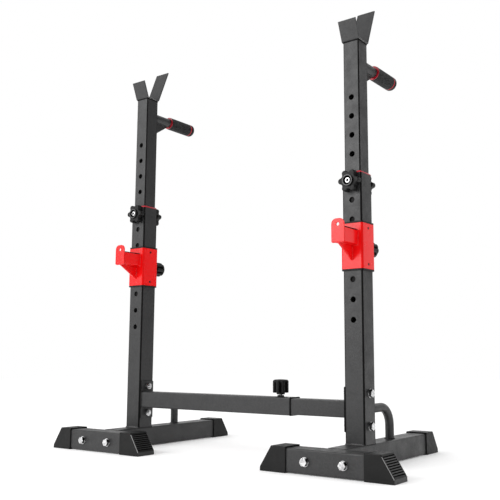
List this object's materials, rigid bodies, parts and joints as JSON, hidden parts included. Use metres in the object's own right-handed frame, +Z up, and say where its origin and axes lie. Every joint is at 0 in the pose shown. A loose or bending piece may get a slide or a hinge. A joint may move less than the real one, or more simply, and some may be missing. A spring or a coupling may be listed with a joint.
{
  "type": "squat stand",
  "caption": "Height-adjustable steel uprights on T-shaped feet, joined by a telescopic crossbar, with sliding bar hooks, V-shaped bar saddles and rear dip handles.",
  "frame": {"origin": "on the floor, midway along the width and the depth of the stand's bounding box at rest", "axes": "+X along the crossbar from the left stand to the right one, +Y towards the rear feet and the handles, away from the hooks, +Z up"},
  "size_m": [1.2288, 0.6158, 1.3042],
  "materials": {
    "frame_steel": "matt fine-texture powder coat",
    "hook_steel": "satin powder coat",
    "black_plastic": "moulded, light texture",
    "red_plastic": "moulded, satin",
    "foam": "closed-cell foam, grained",
    "zinc_steel": "bright zinc plating"
  },
  "bodies": {
    "left_stand": {"front_foot_tube_left": "frame_steel", "rear_foot_tube_left": "frame_steel", "rear_foot_cap_left": "black_plastic", "foot_brace_left": "frame_steel", "front_foot_cap_inner_left": "black_plastic", "foot_bolt_inner_left": "zinc_steel", "front_foot_cap_outer_left": "black_plastic", "foot_bolt_outer_left": "zinc_steel", "lower_upright_left": "frame_steel", "guide_bushing_left": "red_plastic", "crossbar_bolt_upper_left": "zinc_steel", "crossbar_bolt_lower_left": "zinc_steel", "crossbar_outer": "frame_steel", "crossbar_collar": "black_plastic"},
    "left_post": {"upper_post_left": "frame_steel", "post_glide_left": "black_plastic", "bar_saddle_left": "frame_steel", "handle_tube_left": "frame_steel", "handle_gusset_left": "frame_steel", "grip_ring_inner_left": "red_plastic", "foam_grip_left": "foam", "grip_ring_outer_left": "red_plastic", "handle_end_cap_left": "black_plastic"},
    "left_hook": {"bar_hook_left": "hook_steel", "hook_liner_top_left": "black_plastic", "hook_liner_bottom_left": "black_plastic", "hook_pad_left": "black_plastic"},
    "left_hook_knob": {"hook_knob_left": "black_plastic"},
    "left_front_knob": {"front_star_knob_left": "black_plastic"},
    "left_rear_knob": {"rear_star_knob_left": "black_plastic"},
    "right_stand": {"front_foot_tube_right": "frame_steel", "rear_foot_tube_right": "frame_steel", "rear_foot_cap_right": "black_plastic", "foot_brace_right": "frame_steel", "front_foot_cap_inner_right": "black_plastic", "foot_bolt_inner_right": "zinc_steel", "front_foot_cap_outer_right": "black_plastic", "foot_bolt_outer_right": "zinc_steel", "lower_upright_right": "frame_steel", "guide_bushing_right": "red_plastic", "crossbar_bolt_upper_right": "zinc_steel", "crossbar_bolt_lower_right": "zinc_steel", "crossbar_inner": "frame_steel"},
    "right_post": {"upper_post_right": "frame_steel", "post_glide_right": "black_plastic", "bar_saddle_right": "frame_steel", "handle_tube_right": "frame_steel", "handle_gusset_right": "frame_steel", "grip_ring_inner_right": "red_plastic", "foam_grip_right": "foam", "grip_ring_outer_right": "red_plastic", "handle_end_cap_right": "black_plastic"},
    "right_hook": {"bar_hook_right": "hook_steel", "hook_liner_top_right": "black_plastic", "hook_liner_bottom_right": "black_plastic", "hook_pad_right": "black_plastic"},
    "right_hook_knob": {"hook_knob_right": "black_plastic"},
    "right_front_knob": {"front_star_knob_right": "black_plastic"},
    "right_rear_knob": {"rear_star_knob_right": "black_plastic"},
    "crossbar_knob": {"crossbar_knob": "black_plastic"}
  },
  "joints": [
    {"name": "crossbar_slide", "type": "slide", "parent": "left_stand", "child": "right_stand", "axis": [1, 0, 0], "range_m": [-0.165, 0.25]},
    {"name": "crossbar_knob_turn", "type": "hinge", "parent": "left_stand", "child": "crossbar_knob", "pos_m": [0.158, -0.11325, 0.2], "axis": [0, 0, 1], "range_deg": [0, 720]},
    {"name": "left_post_slide", "type": "slide", "parent": "left_stand", "child": "left_post", "axis": [0, 0, 1], "range_m": [-0.2452, 0.2498]},
    {"name": "left_hook_slide", "type": "slide", "parent": "left_stand", "child": "left_hook", "axis": [0, 0, 1], "range_m": [-0.2012, 0.0738]},
    {"name": "left_hook_knob_turn", "type": "hinge", "parent": "left_hook", "child": "left_hook_knob", "pos_m": [-0.42, -0.05325, 0.592], "axis": [0, 1, 0], "range_deg": [0, 720]},
    {"name": "left_front_knob_turn", "type": "hinge", "parent": "left_stand", "child": "left_front_knob", "pos_m": [-0.42, -0.15425, 0.772], "axis": [0, -1, 0], "range_deg": [0, 720]},
    {"name": "left_rear_knob_turn", "type": "hinge", "parent": "left_stand", "child": "left_rear_knob", "pos_m": [-0.42, -0.07225, 0.772], "axis": [0, 1, 0], "range_deg": [0, 720]},
    {"name": "right_post_slide", "type": "slide", "parent": "right_stand", "child": "right_post", "axis": [0, 0, 1], "range_m": [-0.2452, 0.2498]},
    {"name": "right_hook_slide", "type": "slide", "parent": "right_stand", "child": "right_hook", "axis": [0, 0, 1], "range_m": [-0.2012, 0.0738]},
    {"name": "right_hook_knob_turn", "type": "hinge", "parent": "right_hook", "child": "right_hook_knob", "pos_m": [0.42, -0.05325, 0.592], "axis": [0, 1, 0], "range_deg": [0, 720]},
    {"name": "right_front_knob_turn", "type": "hinge", "parent": "right_stand", "child": "right_front_knob", "pos_m": [0.42, -0.15425, 0.772], "axis": [0, -1, 0], "range_deg": [0, 720]},
    {"name": "right_rear_knob_turn", "type": "hinge", "parent": "right_stand", "child": "right_rear_knob", "pos_m": [0.42, -0.07225, 0.772], "axis": [0, 1, 0], "range_deg": [0, 720]}
  ]
}
